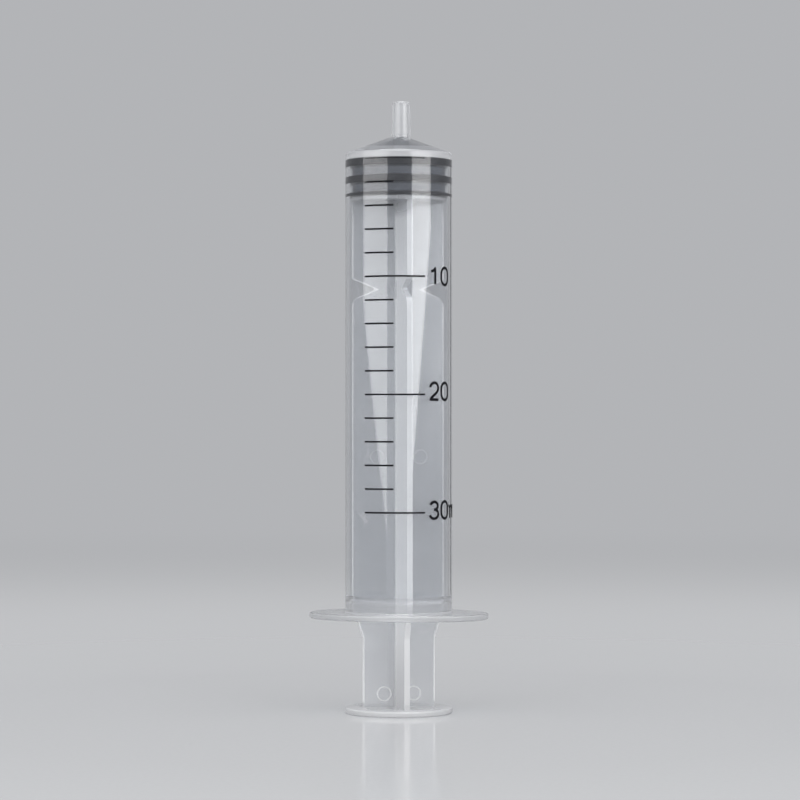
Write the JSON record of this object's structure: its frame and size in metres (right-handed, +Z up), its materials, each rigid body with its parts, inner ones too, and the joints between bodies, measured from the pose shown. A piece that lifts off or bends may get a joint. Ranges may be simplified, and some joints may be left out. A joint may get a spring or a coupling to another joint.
{
  "type": "syringe",
  "caption": "Disposable syringe with a plain slip nozzle: graduated clear barrel with oval finger flange, cross-ribbed plunger rod and rubber stopper that slide and turn in it.",
  "frame": {"origin": "middle of the thumb rest's press face, which is the centre of the bottom of the whole syringe", "axes": "+Z up the barrel's axis towards the nozzle, +X along the finger flange"},
  "size_m": [0.0406, 0.0282, 0.137],
  "materials": {
    "barrel_plastic": "gloss",
    "plunger_plastic": "satin",
    "stopper_rubber": "satin",
    "scale_ink": "matte"
  },
  "bodies": {
    "barrel": {"barrel": "barrel_plastic"},
    "stopper": {"stopper": "stopper_rubber"},
    "plunger": {"plunger": "plunger_plastic"}
  },
  "joints": [
    {"name": "draw_slide", "type": "slide", "parent": "barrel", "child": "stopper", "axis": [0, 0, -1], "range_m": [0, 0.089]},
    {"name": "rod_spin", "type": "hinge", "parent": "stopper", "child": "plunger", "pos_m": [0, 0, 0.1185], "axis": [0, 0, 1], "continuous": true}
  ]
}
